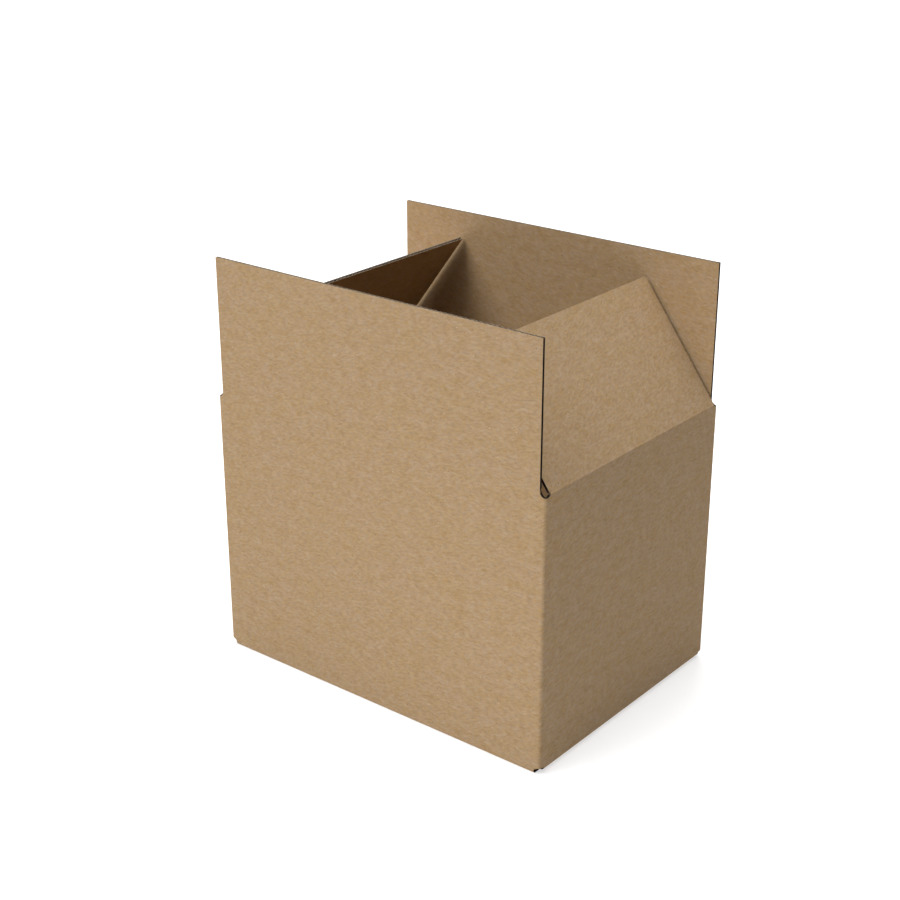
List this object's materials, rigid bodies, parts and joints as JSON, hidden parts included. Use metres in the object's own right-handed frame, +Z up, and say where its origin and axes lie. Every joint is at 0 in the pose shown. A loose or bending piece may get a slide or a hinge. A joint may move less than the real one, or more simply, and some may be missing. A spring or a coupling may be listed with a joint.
{
  "type": "open cardboard box",
  "caption": "Open corrugated shipping carton with upright front and back flaps, side flaps leaning in, and a glued bottom.",
  "frame": {"origin": "middle of the carton's base, on the surface that it stands on", "axes": "+Z up, +X to the right along the long front panel, -Y out of the front panel"},
  "size_m": [0.45, 0.3224, 0.4748],
  "materials": {
    "kraft_board": "matte brown kraft liner with fine fibres"
  },
  "bodies": {
    "carton": {"carton_body": "kraft_board"},
    "front_flap": {"front_flap": "kraft_board"},
    "back_flap": {"back_flap": "kraft_board"},
    "left_flap": {"left_flap": "kraft_board"},
    "right_flap": {"right_flap": "kraft_board"}
  },
  "joints": [
    {"name": "front_flap_hinge", "type": "hinge", "parent": "carton", "child": "front_flap", "pos_m": [0, -0.16125, 0.3193], "axis": [1, 0, 0], "range_deg": [-1, 170]},
    {"name": "back_flap_hinge", "type": "hinge", "parent": "carton", "child": "back_flap", "pos_m": [0, 0.16125, 0.3193], "axis": [-1, 0, 0], "range_deg": [-1, 170]},
    {"name": "right_flap_hinge", "type": "hinge", "parent": "carton", "child": "right_flap", "pos_m": [0.225, 0, 0.316], "axis": [0, 1, 0], "range_deg": [-53.5, 206.5]},
    {"name": "left_flap_hinge", "type": "hinge", "parent": "carton", "child": "left_flap", "pos_m": [-0.225, 0, 0.316], "axis": [0, -1, 0], "range_deg": [-53.5, 206.5]}
  ]
}
